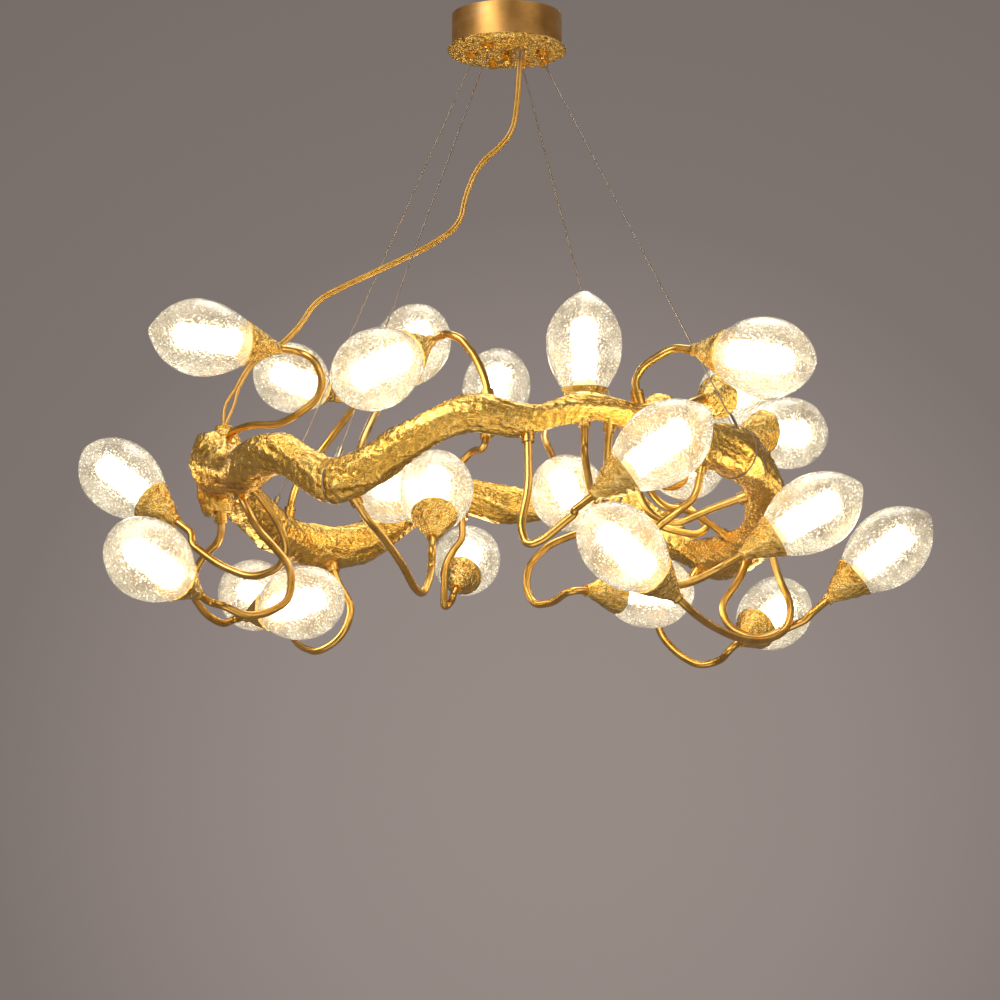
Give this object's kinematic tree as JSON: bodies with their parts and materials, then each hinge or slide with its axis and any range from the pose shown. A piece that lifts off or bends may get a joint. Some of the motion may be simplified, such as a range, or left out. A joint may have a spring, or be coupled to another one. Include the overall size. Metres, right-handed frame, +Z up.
{
  "type": "branch chandelier",
  "caption": "Ceiling chandelier: a gnarled gilt branch ring hung on steel cables, with curled brass arms carrying cast cups, lit lamps and egg-shaped bubble-glass shades.",
  "frame": {"origin": "centre of the ceiling bracket's screw pattern, on the ceiling plane and the canopy axis", "axes": "+Z up into the ceiling, +X to the right and +Y away from the viewer as pictured"},
  "size_m": [0.9095, 0.8217, 0.7013],
  "materials": {
    "leaf_brass": "crinkled gold leaf, glossy",
    "arm_brass": "brushed",
    "brushed_brass": "brushed satin",
    "polished_brass": "polished",
    "steel": "drawn wire and plated steel",
    "terminal": "moulded",
    "clear_plastic": "clear moulded",
    "cord": "clear amber sheath over gold strand",
    "holder": "glazed",
    "lamp": "frosted, lit",
    "glass": "clear with seed bubbles"
  },
  "bodies": {
    "canopy": {"ceiling_bracket": "steel", "canopy_rod": "steel", "canopy_drum": "brushed_brass", "canopy_plate": "leaf_brass", "blanking_plugs": "polished_brass", "gripper_bodies": "polished_brass", "gripper_nuts": "steel", "terminal_block": "terminal", "cord_gland": "clear_plastic", "power_cord": "cord"},
    "ring": {"cable_clamps": "steel", "cable_slings": "steel", "cord_cap": "leaf_brass", "branch_head": "leaf_brass", "branch_front": "leaf_brass", "branch_right": "leaf_brass", "branch_back": "leaf_brass", "wiring_covers": "leaf_brass", "cover_screws": "polished_brass", "arm_collars": "polished_brass", "collar_screws": "steel", "arms_head": "arm_brass", "arms_front": "arm_brass", "arms_right": "arm_brass", "arms_back": "arm_brass", "cups": "leaf_brass", "lampholders": "holder", "lamps": "lamp", "shades": "glass"},
    "ball_nut": {"ball_nut": "polished_brass"},
    "cable_1": {"cable_1": "steel"},
    "nipple_1": {"gripper_nipple_1": "polished_brass"},
    "cable_2": {"cable_2": "steel"},
    "nipple_2": {"gripper_nipple_2": "polished_brass"},
    "cable_3": {"cable_3": "steel"},
    "nipple_3": {"gripper_nipple_3": "polished_brass"},
    "cable_4": {"cable_4": "steel"},
    "nipple_4": {"gripper_nipple_4": "polished_brass"}
  },
  "joints": [
    {"name": "ring_sway", "type": "hinge", "parent": "canopy", "child": "ring", "pos_m": [0, 0, -0.01], "axis": [1, 0, 0], "range_deg": [-3, 3], "deforming": ["power_cord"]},
    {"name": "cable_1_swing", "type": "hinge", "parent": "canopy", "child": "cable_1", "pos_m": [-0.03879, 0.00408, -0.05145], "axis": [1, 0, 0], "range_deg": [-3.4, 3.4]},
    {"name": "cable_2_swing", "type": "hinge", "parent": "canopy", "child": "cable_2", "pos_m": [-0.02067, -0.03307, -0.05145], "axis": [1, 0, 0], "range_deg": [-3.4, 3.4]},
    {"name": "cable_3_swing", "type": "hinge", "parent": "canopy", "child": "cable_3", "pos_m": [0.01831, 0.03443, -0.05145], "axis": [1, 0, 0], "range_deg": [-3.4, 3.4]},
    {"name": "cable_4_swing", "type": "hinge", "parent": "canopy", "child": "cable_4", "pos_m": [0.03879, -0.00408, -0.05145], "axis": [1, 0, 0], "range_deg": [-3.4, 3.4]},
    {"name": "nipple_1_press", "type": "slide", "parent": "canopy", "child": "nipple_1", "axis": [0, 0, 1], "range_m": [0, 0.0025], "stiffness_N_per_m": 300, "springref_m": -0.002},
    {"name": "nipple_2_press", "type": "slide", "parent": "canopy", "child": "nipple_2", "axis": [0, 0, 1], "range_m": [0, 0.0025], "stiffness_N_per_m": 300, "springref_m": -0.002},
    {"name": "nipple_3_press", "type": "slide", "parent": "canopy", "child": "nipple_3", "axis": [0, 0, 1], "range_m": [0, 0.0025], "stiffness_N_per_m": 300, "springref_m": -0.002},
    {"name": "nipple_4_press", "type": "slide", "parent": "canopy", "child": "nipple_4", "axis": [0, 0, 1], "range_m": [0, 0.0025], "stiffness_N_per_m": 300, "springref_m": -0.002},
    {"name": "ball_nut_turn", "type": "hinge", "parent": "canopy", "child": "ball_nut", "pos_m": [0, 0, -0.0495], "axis": [0, 0, 1], "continuous": true}
  ],
  "couplings": [
    {"joint": "cable_1_swing", "follows": "ring_sway", "ratio": 1.091},
    {"joint": "cable_2_swing", "follows": "ring_sway", "ratio": 1.089},
    {"joint": "cable_3_swing", "follows": "ring_sway", "ratio": 1.098},
    {"joint": "cable_4_swing", "follows": "ring_sway", "ratio": 1.1}
  ]
}
